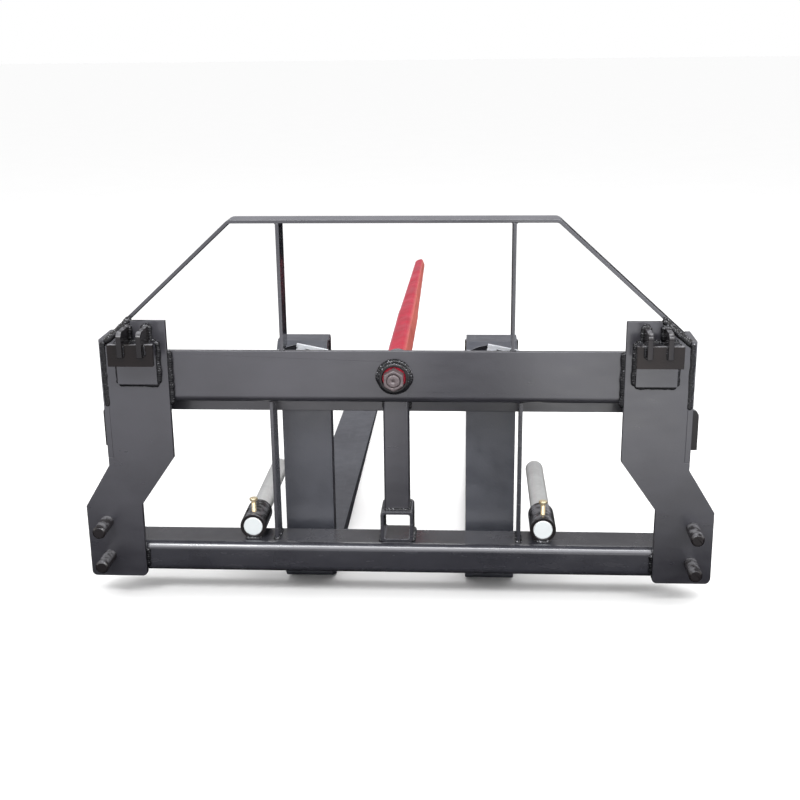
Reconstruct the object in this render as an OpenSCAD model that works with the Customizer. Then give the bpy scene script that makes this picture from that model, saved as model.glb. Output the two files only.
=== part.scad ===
// Fork frame that hooks on a loader: two sliding pallet forks, a bale spear,
// two stabilizer rods, a receiver socket and a load guard. Millimetres.
// +X right and +Y forward along the forks, as seen from the machine. The ground is at Z = 0.

/* [Frame] */
// Height of the top beam's upper edge
beam_top = 510; // [505:1:520]
// Height of the top beam's rear wall
beam_h = 101.6; // [98:0.1:105]
// Thickness of the top beam's bent plate
beam_t = 9.5; // [8:0.5:10]
// Outside radius of the top beam's bent corner
beam_r = 14; // [11:1:18]
// Height of the lower tube's upper face
tube_top = 120; // [118:0.5:122]
// Height of the lower tube
tube_h = 63.5; // [60:0.5:64]
// Depth of the lower tube, front to rear
tube_w = 88.9; // [88:0.1:90]
// Wall thickness of the lower tube
tube_wall = 9.5; // [6:0.5:10]
// Distance from the beam's rear face to the front face of the fork rails
rail_front = 101.6; // [101:0.1:102]
// Thickness of the upper fork rail
rail_t = 30; // [28:1:32]
// Thickness of the lip that the fork hooks go over
rail_lip = 16; // [14:1:18]
// Height of the lip that the fork hooks go over
lip_h = 20; // [18:1:22]
// Half length of the lower tube
tube_half = 600; // [580:5:602]

/* [Mount plates] */
// Thickness of the rear mount plates and of the side plates
plate_t = 10; // [8:1:12]
// Distance from the middle to a mount plate's inner edge
plate_in = 425; // [415:1:435]
// Distance from the middle to a mount plate's lower outer edge
plate_out = 605; // [603:1:615]
// Height of a mount plate's upper edge
plate_top = 569; // [560:1:572]
// Height of a mount plate's lower edge
plate_low = 51; // [45:1:60]
// Diameter of the lower mount pins
pin_d = 25.4; // [20:0.1:30]
// Length of the lower mount pins
pin_len = 58; // [40:1:60]
// Reach of the hook ears behind the mount plates
ear_reach = 62; // [58:1:70]

/* [Guard and braces] */
// Height of the guard bar's upper face
guard_top = 754; // [740:1:770]
// Half width of the guard bar's level part, to the corner of the bend
guard_half = 300; // [290:1:310]
// Width of the flat bar
bar_w = 50.8; // [45:0.1:52]
// Thickness of the flat bar
bar_t = 6.35; // [6:0.05:8]
// Distance from the middle to the outer face of a guard upright
upright_x = 218; // [210:1:222]
// How far both guard uprights stand to the right of their even places
upright_shift = 5; // [0:1:6]
// Distance from the middle to the outer face of a brace bar
brace_x = 241; // [238:1:250]

/* [Receiver] */
// Outside width of the receiver tube
receiver_w = 63.5; // [63:0.1:64]
// Inside width of the receiver tube
receiver_in = 51; // [50.8:0.1:52]
// Length of the receiver tube
receiver_len = 70; // [65:0.5:76]
// Width of the centre post
post_w = 49; // [44:0.5:51]

/* [Stabilizers] */
// Distance from the middle to a stabilizer rod
rod_x = 285; // [285:1:300]
// Diameter of a stabilizer rod
rod_d = 38.1; // [36:0.1:38.1]
// Length of a stabilizer rod
rod_len = 350; // [300:1:450]
// Outside diameter of a stabilizer collar
collar_d = 50.8; // [50:0.1:51]
// Length of a stabilizer collar
collar_len = 82.5; // [75:0.5:85]

/* [Spear] */
// Height of the bale spear
spear_z = 461; // [458:1:462]
// Turn of the spear's square section about its own axis, in degrees
spear_turn = 20; // [0:1:45]
// Length of the bale spear with its thread
spear_len = 1245; // [1000:5:1250]
// Diameter of the spear's seat in its bushing
seat_d = 44.5; // [42:0.1:45]
// Outside diameter of the spear bushing
bushing_d = 54; // [52:1:56]
// Thread diameter of the spear nut
thread_d = 24; // [20:1:24]
// Width across the flats of the spear nut
nut_af = 36; // [34:1:36]

/* [Forks] */
// Distance from the middle to the middle of each fork
fork_x = 182; // [182:1:184]
// Width of a fork
fork_w = 97; // [95:0.1:101.6]
// Thickness of a fork at its heel
fork_t = 38; // [32:1:44]
// Length of a fork blade in front of its shank
blade_len = 1219.2; // [900:0.1:1372]
// Thickness of a fork blade at its tip
tip_t = 12; // [8:1:16]
// Height of the upper fork hook's top
hook_top = 510; // [510:1:520]
// Distance between two notches of the upper fork rail
notch_pitch = 25; // [25:1:25]

/* [Hidden] */
$fn = 64;

LEFT = -1;
RIGHT = 1;
// Overshoot of a cut beyond the faces that it goes through
cut = 1;
// Gap between parts that slide on each other
gap = 0.4;
// Radial gap of a round part that slides in a bore
round_gap = 0.3;

PAINT = "#5a5a60";
FORK_PAINT = "#47525c";
SPEAR_RED = "#c23348";
NUT_BROWN = "#6e4b4b";
ZINC = "#c0c0bc";
BRIGHT_ZINC = "#dce0e4";
YELLOW_ZINC = "#c8a86e";
SPRING_STEEL = "#70747a";

// Frame heights
beam_low = beam_top - beam_h;
tube_low = tube_top - tube_h;
rail_back = rail_front - rail_t;
rail_top = beam_top - 26;
rail_low = beam_low - 37;
lip_back = rail_front - rail_lip;
lower_lip_low = tube_low - rail_lip;
tube_r = 16;
lower_rail_top = 100;

// Mount plate outline
side_in = 543;
side_out = side_in + plate_t;
side_low = 299;
side_top = 533;
flare_top = 283;
flare_low = 198;
dogleg_top = 300;
dogleg_low = 202;
plate_foot_in = 494;
plate_top_out = 488;
plate_cut_z = 518;
plate_corner_r = 10;

// Hooks on the mount plates
pad_in = 444;
pad_w = 75;
pad_low = 449;
pad_top = 531;
ear_t = 9.5;
ear_in_x = 455;
ear_out_x = 491.5;
ear_low = 513;
ear_top = 561;
ear_r = 12;
hook_lip_in = 438;
hook_lip_w = 84;
hook_lip_low = 495;
hook_lip_top = 536;
hook_lip_y = -52;
ear_end = -plate_t - ear_reach;

// Mount pins
pin_x = 566;
upper_pin_z = 166;
lower_pin_z = 94;
pin_chamfer = 3;

// Side lugs
lug_w = 25;
lug_low = 300;
lug_h = 80;
lug_y = 60;

// Guard bar
guard_bend_r = 16;
bend_steps = 8;
guard_leg_z = side_top;
guard_angle = atan2(guard_top - guard_leg_z, side_in - guard_half);
guard_bend_x = guard_half - guard_bend_r * tan(guard_angle / 2);
brace_y = 20.5;

// Receiver and post
receiver_y = 14.5;
receiver_top = tube_top + receiver_w;
receiver_r = 8;
hitch_hole_d = 15.9;
post_wall = 5;
post_depth = 44.5;
post_r = 5;

// Stabilizers
collar_y = 23;
collar_z = tube_top + collar_d / 2;
rod_chamfer = 4;
bolt_y = collar_y + 20;
bolt_d = 9.5;
bolt_af = 14.3;
bolt_head_h = 6.1;
bolt_head_z = collar_z + collar_d / 2 + 22;
bolt_tip_z = collar_z + rod_d / 2 + round_gap;

// Spear
bushing_back = -14;
bushing_front = rail_front + 6;
seat_back = 4;
washer_back = -10;
washer_t = 4;
nut_h = 21.5;
recess_d = 45;
thread_back = -34;
spear_tip = thread_back + spear_len;
shoulder_y = 530;
neck_y = 545;
taper_y = 1158;

// Forks
shank_back = rail_front + gap;
shank_front = shank_back + fork_t;
blade_tip = shank_front + blade_len;
heel_r = 22;
heel_fillet = 18;
nose_r = 37;
hook_back = rail_back - 5.6;
hook_gap_back = lip_back - gap;
hook_lip_end = rail_top - lip_h + 1;
hook_chamfer = 8;
hook_slope = 15;
bottom_hook_low = 18;
bottom_hook_top = 54;
bottom_chamfer = 10;

// Fork latch
latch_y = rail_front - rail_lip / 2;
plunger_d = 13.5;
plunger_low = rail_top + 2;
plunger_top = 499;
latch_bore_top = 507;
pocket_r = 100;
pocket_half = 42;
pocket_top = 503;
pocket_sill = 476.5;
pocket_front = 88;
cross_pin_z = 495;
cross_pin_d = 6;
lever_back = 52;
lever_t = 5.5;
lever_w = 6.5;
lever_rise = 10.8;
lever_arm = 52;
lever_tail = 10;
lever_slope = 11.7;
lever_hub_d = 19;
lever_hub_end = 64.5;
lever_shaft_d = 14;
toe_w = 5;
toe_len = 16;
toe_front = 80;

// Notches in the upper rail
notch_w = 15;
notch_deep = 11;
notch_first = fork_x - 4 * notch_pitch;
notch_count = 17;

// Middle of the whole attachment along Y, so that the origin is under its box's centre
mid_y = (blade_tip + ear_end) / 2;

module placed() {
    translate([0, -mid_y, 0]) children();
}

// Draws a right-hand part on the side given by s
module on_side(s) {
    placed() mirror([s < 0 ? 1 : 0, 0, 0]) children();
}

module at_fork(s) {
    placed() translate([s * fork_x, 0, 0]) children();
}

module box(low, high) {
    translate(low) cube(high - low);
}

// Extrudes a side view, drawn as [y, z], from x0 to x1
module along_x(x0, x1) {
    translate([x0, 0, 0]) rotate([90, 0, 90]) linear_extrude(x1 - x0) children();
}

// Extrudes a rear view, drawn as [x, z], from y0 to y1
module along_y(y0, y1) {
    translate([0, y1, 0]) rotate([90, 0, 0]) linear_extrude(y1 - y0) children();
}

function turned(points) = [for (i = [len(points) - 1 : -1 : 0]) points[i]];

function flipped(points) = [for (p = points) [-p[0], p[1]]];

module rod_along_y(r, y0, y1) {
    translate([0, y1, 0]) rotate([90, 0, 0]) cylinder(r = r, h = y1 - y0);
}

module rounded_rect(w, h, r) {
    square([w, h - 2 * r], center = true);
    square([w - 2 * r, h], center = true);
    for (sx = [-1, 1], sy = [-1, 1]) translate([sx * (w / 2 - r), sy * (h / 2 - r)]) circle(r);
}

// Section of a rectangular steel tube
module tube_section(w, h, wall, r) difference() {
    rounded_rect(w, h, r);
    rounded_rect(w - 2 * wall, h - 2 * wall, r / 2);
}

// ---- Frame ----

module upper_beam() placed() color(PAINT) difference() {
    along_x(-side_in, side_in) {
        translate([0, beam_low + beam_r]) square([beam_t, beam_h - beam_r]);
        translate([beam_r, beam_low]) square([rail_back - beam_r, beam_t]);
        intersection() {
            translate([beam_r, beam_low + beam_r]) difference() {
                circle(beam_r);
                circle(beam_r - beam_t);
            }
            translate([0, beam_low]) square(beam_r);
        }
    }
    translate([0, 0, spear_z]) rod_along_y(bushing_d / 2, -cut, beam_t + cut);
}

module upper_fork_rail() placed() color(PAINT) difference() {
    along_x(-side_out, side_out) polygon([
        [rail_back, rail_low], [rail_front, rail_low], [rail_front, rail_top],
        [lip_back, rail_top], [lip_back, rail_top - lip_h], [rail_back, rail_top - lip_h]
    ]);
    translate([0, 0, spear_z]) rod_along_y(bushing_d / 2, rail_back - cut, rail_front + cut);
    box([-bushing_d / 2, rail_back - cut, spear_z], [bushing_d / 2, rail_front + cut, rail_top + cut]);
    for (s = [LEFT, RIGHT], i = [0 : notch_count - 1])
        translate([s * (notch_first + i * notch_pitch) - notch_w / 2, lip_back - cut, rail_top - notch_deep])
            cube([notch_w, rail_lip + 2 * cut, notch_deep + cut]);
}

module lower_tube() placed() color(PAINT) translate([0, tube_w / 2, tube_low + tube_h / 2])
    along_x(-tube_half, tube_half) tube_section(tube_w, tube_h, tube_wall, tube_r);

module lower_fork_rail() placed() color(PAINT)
    box([-side_in, tube_w, lower_lip_low], [side_in, rail_front, lower_rail_top]);

// ---- Mount plates, their hooks and their pins ----

module mount_plate(s) on_side(s) color(PAINT) along_y(-plate_t, 0) {
    polygon([
        [plate_in, plate_top], [plate_top_out, plate_top], [side_in, plate_cut_z],
        [side_in, side_low], [side_out, side_low], [side_out, flare_top],
        [plate_out, flare_low], [plate_out, plate_low + plate_corner_r],
        [plate_foot_in, plate_low + plate_corner_r], [plate_foot_in, dogleg_low],
        [plate_in, dogleg_top]
    ]);
    for (x = [plate_foot_in + plate_corner_r, plate_out - plate_corner_r])
        translate([x, plate_low + plate_corner_r]) circle(plate_corner_r);
    translate([plate_foot_in + plate_corner_r, plate_low])
        square([plate_out - plate_foot_in - 2 * plate_corner_r, plate_corner_r]);
}

module side_plate(s) on_side(s) color(PAINT)
    box([side_in, -plate_t, side_low], [side_out, rail_back, side_top]);

module side_lug(s) on_side(s) color(PAINT) translate([side_out, 0, lug_low]) along_y(lug_y, lug_y + plate_t) {
    square([lug_w - ear_r, lug_h]);
    square([lug_w, lug_h - ear_r]);
    translate([lug_w - ear_r, lug_h - ear_r]) circle(ear_r);
}

module hook_pad(s) on_side(s) color(PAINT)
    box([pad_in, -2 * plate_t, pad_low], [pad_in + pad_w, -plate_t, pad_top]);

module hook_lip(s) on_side(s) color(PAINT) difference() {
    box([hook_lip_in, hook_lip_y - plate_t, hook_lip_low],
        [hook_lip_in + hook_lip_w, hook_lip_y, hook_lip_top]);
    for (x = [ear_in_x, ear_out_x])
        box([x, hook_lip_y - plate_t - cut, ear_low], [x + ear_t, hook_lip_y + cut, hook_lip_top + cut]);
}

module hook_ear(s, x) on_side(s) color(PAINT) along_x(x, x + ear_t) {
    translate([ear_end + ear_r, ear_low]) square([-2 * plate_t - ear_end - ear_r, ear_top - ear_low]);
    translate([ear_end, ear_low]) square([ear_r, ear_top - ear_low - ear_r]);
    translate([ear_end + ear_r, ear_top - ear_r]) circle(ear_r);
    translate([-2 * plate_t, pad_top]) square([plate_t, ear_top - pad_top]);
}

module mount_pin(s, z) on_side(s) color(PAINT) translate([pin_x, -plate_t, z]) rotate([90, 0, 0]) {
    cylinder(d = pin_d, h = pin_len - pin_chamfer);
    translate([0, 0, pin_len - pin_chamfer])
        cylinder(d1 = pin_d, d2 = pin_d - 2 * pin_chamfer, h = pin_chamfer);
}

// ---- Guard, braces and receiver ----

// Right half of the guard bar's line at depth t under its outer face, as [x, z]
function guard_line(t) = concat(
    [for (i = [0 : bend_steps]) let (a = 90 - guard_angle * i / bend_steps)
        [guard_bend_x, guard_top - guard_bend_r] + (guard_bend_r - t) * [cos(a), sin(a)]],
    [[side_in, guard_leg_z - t / cos(guard_angle)]]
);

module guard_bar() placed() color(PAINT) along_y(0, bar_w) {
    outer = guard_line(0);
    inner = guard_line(bar_t);
    polygon(concat(turned(flipped(outer)), outer, turned(inner), flipped(inner)));
}

module guard_upright(s) on_side(s) color(PAINT) translate([upright_x + s * upright_shift, 0, 0])
    box([-bar_t, 0, beam_top], [0, bar_w, guard_top - bar_t]);

module brace_bar(s) on_side(s) color(PAINT)
    box([brace_x - bar_t, brace_y, tube_top], [brace_x, brace_y + bar_w, beam_low]);

module centre_post() placed() color(PAINT) translate([0, rail_back - post_depth / 2, receiver_top])
    linear_extrude(beam_low - receiver_top) tube_section(post_w, post_depth, post_wall, post_r);

module receiver_tube() placed() color(PAINT) translate([0, 0, tube_top + receiver_w / 2]) difference() {
    along_y(receiver_y, receiver_y + receiver_len)
        tube_section(receiver_w, receiver_w, (receiver_w - receiver_in) / 2, receiver_r);
    translate([-receiver_w, receiver_y + receiver_len / 2, 0]) rotate([0, 90, 0])
        cylinder(d = hitch_hole_d, h = 2 * receiver_w);
}

// ---- Stabilizer rods ----

module stabilizer_collar(s) on_side(s) color(PAINT) translate([rod_x, 0, 0]) difference() {
    translate([0, 0, collar_z]) rod_along_y(collar_d / 2, collar_y, collar_y + collar_len);
    translate([0, 0, collar_z])
        rod_along_y(rod_d / 2 + round_gap, collar_y - cut, collar_y + collar_len + cut);
    translate([0, bolt_y, collar_z]) cylinder(d = bolt_d + 2 * round_gap, h = collar_d);
}

module stabilizer_rod(s) on_side(s) color(ZINC) translate([rod_x, collar_y, collar_z]) rotate([-90, 0, 0]) {
    cylinder(d1 = rod_d - 2, d2 = rod_d, h = 1);
    translate([0, 0, 1]) cylinder(d = rod_d, h = rod_len - rod_chamfer - 1);
    translate([0, 0, rod_len - rod_chamfer])
        cylinder(d1 = rod_d, d2 = rod_d - 2 * rod_chamfer, h = rod_chamfer);
}

module set_bolt(s) on_side(s) color(YELLOW_ZINC) translate([rod_x, bolt_y, 0]) {
    translate([0, 0, bolt_tip_z]) cylinder(d = bolt_d, h = bolt_head_z - bolt_tip_z);
    translate([0, 0, bolt_head_z]) cylinder(d = bolt_af / cos(30), h = bolt_head_h, $fn = 6);
}

// ---- Bale spear ----

module spear_bushing() placed() color(PAINT) translate([0, 0, spear_z]) difference() {
    rod_along_y(bushing_d / 2, bushing_back, bushing_front);
    rod_along_y(recess_d / 2, bushing_back - cut, washer_back + washer_t);
    rod_along_y(thread_d / 2 + round_gap, bushing_back, bushing_front);
    rod_along_y(seat_d / 2 + round_gap, seat_back, bushing_front + cut);
}

// Half width of the square spear, from the bushing to the tip, as [half width, y]
function spear_side() = [
    [seat_d * 0.45, bushing_front], [seat_d * 0.425, shoulder_y], [seat_d * 0.4, neck_y],
    [seat_d * 0.255, taper_y], [seat_d * 0.05, spear_tip]
];

// The same line pushed out, which rounds the square's corners
function spear_corner() = [for (p = spear_side()) [p[0] * 1.16, p[1]]];

module spear_view() polygon(concat(spear_side(), turned(flipped(spear_side()))));

module bale_spear() placed() color(SPEAR_RED) translate([0, 0, spear_z]) {
    rod_along_y(thread_d / 2, thread_back, seat_back + 2 * round_gap);
    rod_along_y(seat_d / 2, seat_back + round_gap, bushing_front);
    rotate([0, -spear_turn, 0]) intersection() {
        translate([0, 0, -seat_d]) linear_extrude(2 * seat_d) spear_view();
        rotate([0, 90, 0]) translate([0, 0, -seat_d]) linear_extrude(2 * seat_d) spear_view();
        rotate([-90, 0, 0]) rotate_extrude()
            polygon(concat([[0, bushing_front]], spear_corner(), [[0, spear_tip]]));
    }
}

module spear_washer() placed() color(SPEAR_RED) translate([0, 0, spear_z]) difference() {
    rod_along_y(recess_d / 2 - 2 * round_gap, washer_back, washer_back + washer_t - round_gap);
    rod_along_y(thread_d / 2 + 2 * round_gap, washer_back - cut, washer_back + washer_t + cut);
}

module spear_nut() placed() color(NUT_BROWN) translate([0, 0, spear_z]) difference() {
    translate([0, washer_back, 0]) rotate([90, 0, 0]) cylinder(d = nut_af / cos(30), h = nut_h, $fn = 6);
    rod_along_y(thread_d / 2 + round_gap, washer_back - nut_h - cut, washer_back + cut);
}

// ---- Forks ----

module fork_side_view() {
    polygon([
        [shank_back, heel_r], [shank_back, hook_top], [shank_front - hook_chamfer, hook_top],
        [shank_front, hook_top - hook_chamfer], [shank_front, heel_r]
    ]);
    translate([shank_back + heel_r, heel_r]) circle(heel_r);
    polygon([
        [shank_back + heel_r, 0], [blade_tip, 0], [blade_tip, tip_t],
        [shank_front, fork_t], [shank_back + heel_r, fork_t]
    ]);
    difference() {
        translate([shank_front, fork_t - 1]) square([heel_fillet, heel_fillet + 1]);
        translate([shank_front + heel_fillet, fork_t + heel_fillet]) circle(heel_fillet);
    }
}

module fork_top_view() {
    polygon([
        [-fork_w / 2, shank_back], [fork_w / 2, shank_back], [fork_w / 2, blade_tip - 3 * nose_r],
        [nose_r, blade_tip - nose_r], [-nose_r, blade_tip - nose_r], [-fork_w / 2, blade_tip - 3 * nose_r]
    ]);
    translate([0, blade_tip - nose_r]) circle(nose_r);
}

module fork(s) at_fork(s) color(FORK_PAINT) intersection() {
    along_x(-fork_w / 2, fork_w / 2) fork_side_view();
    linear_extrude(hook_top + cut) fork_top_view();
}

module fork_top_hook(s) at_fork(s) color(FORK_PAINT) difference() {
    along_x(-fork_w / 2, fork_w / 2) polygon([
        [shank_back, rail_top + gap], [hook_gap_back, rail_top + gap], [hook_gap_back, hook_lip_end],
        [hook_back, hook_lip_end], [hook_back, hook_top - hook_slope],
        [hook_back + hook_slope, hook_top], [shank_back, hook_top]
    ]);
    intersection() {
        translate([0, 0, pocket_top - pocket_r]) rod_along_y(pocket_r, hook_back - cut, pocket_front);
        box([-pocket_half, hook_back - cut, pocket_sill], [pocket_half, pocket_front, hook_top]);
    }
    translate([0, latch_y, rail_top]) cylinder(d = plunger_d + 2 * round_gap, h = latch_bore_top - rail_top);
}

module fork_bottom_hook(s) at_fork(s) color(FORK_PAINT) along_x(-fork_w / 2, fork_w / 2) polygon([
    [shank_back, bottom_hook_low], [shank_back, lower_lip_low - 1], [tube_w - gap, lower_lip_low - 1],
    [tube_w - gap, bottom_hook_top], [hook_back, bottom_hook_top],
    [hook_back, bottom_hook_low + bottom_chamfer], [hook_back + bottom_chamfer, bottom_hook_low]
]);

// ---- Fork latches ----

module latch_plunger(s) at_fork(s) color(ZINC) difference() {
    translate([0, latch_y, plunger_low]) cylinder(d = plunger_d, h = plunger_top - plunger_low);
    translate([0, 0, cross_pin_z]) rod_along_y(cross_pin_d / 2, 0, latch_y);
}

module latch_cross_pin(s) at_fork(s) color(ZINC) translate([0, 0, cross_pin_z])
    rod_along_y(cross_pin_d / 2, lever_back - 2, latch_y);

module latch_spring(s) at_fork(s) color(SPRING_STEEL) translate([0, latch_y, plunger_top]) difference() {
    cylinder(d = plunger_d - 2, h = latch_bore_top - plunger_top);
    translate([0, 0, -cut]) cylinder(d = plunger_d - 5, h = latch_bore_top - plunger_top + 2 * cut);
}

module latch_lever(s) at_fork(s) color(BRIGHT_ZINC) translate([0, 0, cross_pin_z]) difference() {
    union() {
        along_y(lever_back, lever_back + lever_t) rotate(-lever_slope) {
            translate([-lever_tail, lever_rise - lever_w / 2])
                square([lever_tail + lever_arm - lever_w / 2, lever_w]);
            translate([lever_arm - lever_w / 2, lever_rise]) circle(lever_w / 2);
        }
        rod_along_y(lever_hub_d / 2, lever_back, lever_hub_end);
        rod_along_y(lever_shaft_d / 2, lever_back, toe_front);
        box([-toe_w / 2, hook_back + gap, -toe_len], [toe_w / 2, toe_front, 0]);
    }
    rod_along_y(cross_pin_d / 2 + round_gap, lever_back - cut, toe_front + cut);
}

upper_beam();
upper_fork_rail();
lower_tube();
lower_fork_rail();
mount_plate(LEFT);  // left_mount_plate
mount_plate(RIGHT);  // right_mount_plate
side_plate(LEFT);  // left_side_plate
side_plate(RIGHT);  // right_side_plate
side_lug(LEFT);  // left_side_lug
side_lug(RIGHT);  // right_side_lug
hook_pad(LEFT);  // left_hook_pad
hook_pad(RIGHT);  // right_hook_pad
hook_lip(LEFT);  // left_hook_lip
hook_lip(RIGHT);  // right_hook_lip
hook_ear(LEFT, ear_in_x);  // left_inner_hook_ear
hook_ear(RIGHT, ear_in_x);  // right_inner_hook_ear
hook_ear(LEFT, ear_out_x);  // left_outer_hook_ear
hook_ear(RIGHT, ear_out_x);  // right_outer_hook_ear
mount_pin(LEFT, upper_pin_z);  // left_upper_mount_pin
mount_pin(RIGHT, upper_pin_z);  // right_upper_mount_pin
mount_pin(LEFT, lower_pin_z);  // left_lower_mount_pin
mount_pin(RIGHT, lower_pin_z);  // right_lower_mount_pin
guard_bar();
guard_upright(LEFT);  // left_guard_upright
guard_upright(RIGHT);  // right_guard_upright
brace_bar(LEFT);  // left_brace_bar
brace_bar(RIGHT);  // right_brace_bar
centre_post();
receiver_tube();
stabilizer_collar(LEFT);  // left_stabilizer_collar
stabilizer_collar(RIGHT);  // right_stabilizer_collar
stabilizer_rod(LEFT);  // left_stabilizer_rod
stabilizer_rod(RIGHT);  // right_stabilizer_rod
set_bolt(LEFT);  // left_set_bolt
set_bolt(RIGHT);  // right_set_bolt
spear_bushing();
bale_spear();
spear_washer();
spear_nut();
fork(LEFT);  // left_fork
fork(RIGHT);  // right_fork
fork_top_hook(LEFT);  // left_fork_top_hook
fork_top_hook(RIGHT);  // right_fork_top_hook
fork_bottom_hook(LEFT);  // left_fork_bottom_hook
fork_bottom_hook(RIGHT);  // right_fork_bottom_hook
latch_plunger(LEFT);  // left_latch_plunger
latch_plunger(RIGHT);  // right_latch_plunger
latch_cross_pin(LEFT);  // left_latch_cross_pin
latch_cross_pin(RIGHT);  // right_latch_cross_pin
latch_spring(LEFT);  // left_latch_spring
latch_spring(RIGHT);  // right_latch_spring
latch_lever(LEFT);  // left_latch_lever
latch_lever(RIGHT);  // right_latch_lever
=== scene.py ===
import math

import bpy
from mathutils import Matrix, Vector, noise


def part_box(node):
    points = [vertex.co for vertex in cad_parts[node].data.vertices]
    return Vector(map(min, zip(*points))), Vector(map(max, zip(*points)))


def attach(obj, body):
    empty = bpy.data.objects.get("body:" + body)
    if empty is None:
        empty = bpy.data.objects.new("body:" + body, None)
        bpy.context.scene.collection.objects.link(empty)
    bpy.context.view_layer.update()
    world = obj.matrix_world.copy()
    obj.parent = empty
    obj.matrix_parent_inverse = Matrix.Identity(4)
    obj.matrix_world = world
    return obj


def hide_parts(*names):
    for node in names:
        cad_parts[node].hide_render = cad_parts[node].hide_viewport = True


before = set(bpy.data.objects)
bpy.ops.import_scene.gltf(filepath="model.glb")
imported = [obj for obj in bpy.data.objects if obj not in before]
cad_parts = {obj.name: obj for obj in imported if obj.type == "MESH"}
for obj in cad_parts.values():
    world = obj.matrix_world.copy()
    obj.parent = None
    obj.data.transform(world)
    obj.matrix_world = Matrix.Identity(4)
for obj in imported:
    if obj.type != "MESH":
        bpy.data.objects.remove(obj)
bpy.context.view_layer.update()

MM = 0.001
SIDES = {"left": -1, "right": 1}
LEFT, RIGHT = SIDES.values()
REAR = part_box("upper_beam")[0].y
UP = Vector((0, 0, 1))
BACK = Vector((0, -1, 0))


def low(node):
    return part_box(node)[0]


def high(node):
    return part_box(node)[1]


# ---- Shader helpers ----

RANGE_INPUTS = ("From Min", "From Max", "To Min", "To Max")


class Shader:
    """A new material with a Principled shader, and short calls for the nodes that feed it."""

    def __init__(self, name, roughness=0.5, metallic=0.0):
        self.material = bpy.data.materials.new(name)
        self.material.use_nodes = True
        self.tree = self.material.node_tree
        self.bsdf = self.tree.nodes["Principled BSDF"]
        self.bsdf.inputs["Roughness"].default_value = roughness
        self.bsdf.inputs["Metallic"].default_value = metallic
        self.coordinates = self.tree.nodes.new("ShaderNodeTexCoord").outputs["Object"]
        self.bumped = None

    def link(self, source, target):
        if isinstance(source, (int, float, tuple)):
            target.default_value = source
        else:
            self.tree.links.new(source, target)

    def mapped(self, scale=(1, 1, 1), location=(0, 0, 0)):
        node = self.tree.nodes.new("ShaderNodeMapping")
        node.inputs["Scale"].default_value = scale
        node.inputs["Location"].default_value = location
        self.link(self.coordinates, node.inputs["Vector"])
        return node.outputs["Vector"]

    def noise(self, scale, detail=2.0, vector=None, distortion=0.0):
        node = self.tree.nodes.new("ShaderNodeTexNoise")
        node.inputs["Scale"].default_value = scale
        node.inputs["Detail"].default_value = detail
        node.inputs["Distortion"].default_value = distortion
        self.link(vector or self.coordinates, node.inputs["Vector"])
        return node.outputs["Fac"]

    def spots(self, scale, vector=None):
        node = self.tree.nodes.new("ShaderNodeTexVoronoi")
        node.inputs["Scale"].default_value = scale
        self.link(vector or self.coordinates, node.inputs["Vector"])
        return node.outputs["Distance"]

    def ramp(self, value, *stops):
        node = self.tree.nodes.new("ShaderNodeValToRGB")
        elements = node.color_ramp.elements
        for position, color in stops[2:]:
            elements.new(position)
        for element, (position, color) in zip(elements, stops):
            element.position = position
            element.color = (*color, 1) if isinstance(color, tuple) else (color, color, color, 1)
        self.link(value, node.inputs["Fac"])
        return node.outputs["Color"]

    def math(self, operation, a, b=0.0):
        node = self.tree.nodes.new("ShaderNodeMath")
        node.operation = operation
        self.link(a, node.inputs[0])
        self.link(b, node.inputs[1])
        return node.outputs["Value"]

    def between(self, value, start, end, to_low, to_high):
        node = self.tree.nodes.new("ShaderNodeMapRange")
        for name, number in zip(RANGE_INPUTS, (start, end, to_low, to_high)):
            node.inputs[name].default_value = number
        self.link(value, node.inputs["Value"])
        return node.outputs["Result"]

    def mix(self, factor, a, b):
        node = self.tree.nodes.new("ShaderNodeMix")
        node.data_type = "RGBA"
        self.link(factor, node.inputs["Factor"])
        self.link((*a, 1) if isinstance(a, tuple) else a, node.inputs["A"])
        self.link((*b, 1) if isinstance(b, tuple) else b, node.inputs["B"])
        return node.outputs["Result"]

    def facing(self, axis):
        """How far the surface faces along an axis, from -1 to 1."""
        geometry = self.tree.nodes.new("ShaderNodeNewGeometry")
        split = self.tree.nodes.new("ShaderNodeSeparateXYZ")
        self.link(geometry.outputs["Normal"], split.inputs["Vector"])
        return split.outputs[axis]

    def position(self, axis):
        split = self.tree.nodes.new("ShaderNodeSeparateXYZ")
        self.link(self.coordinates, split.inputs["Vector"])
        return split.outputs[axis]

    def bump(self, height, strength, distance):
        node = self.tree.nodes.new("ShaderNodeBump")
        node.inputs["Strength"].default_value = strength
        node.inputs["Distance"].default_value = distance
        self.link(height, node.inputs["Height"])
        if self.bumped:
            self.link(self.bumped, node.inputs["Normal"])
        self.bumped = node.outputs["Normal"]
        self.link(self.bumped, self.bsdf.inputs["Normal"])

    def set(self, **values):
        for name, value in values.items():
            self.link(value, self.bsdf.inputs[name.replace("_", " ")])


# ---- Materials ----

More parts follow.
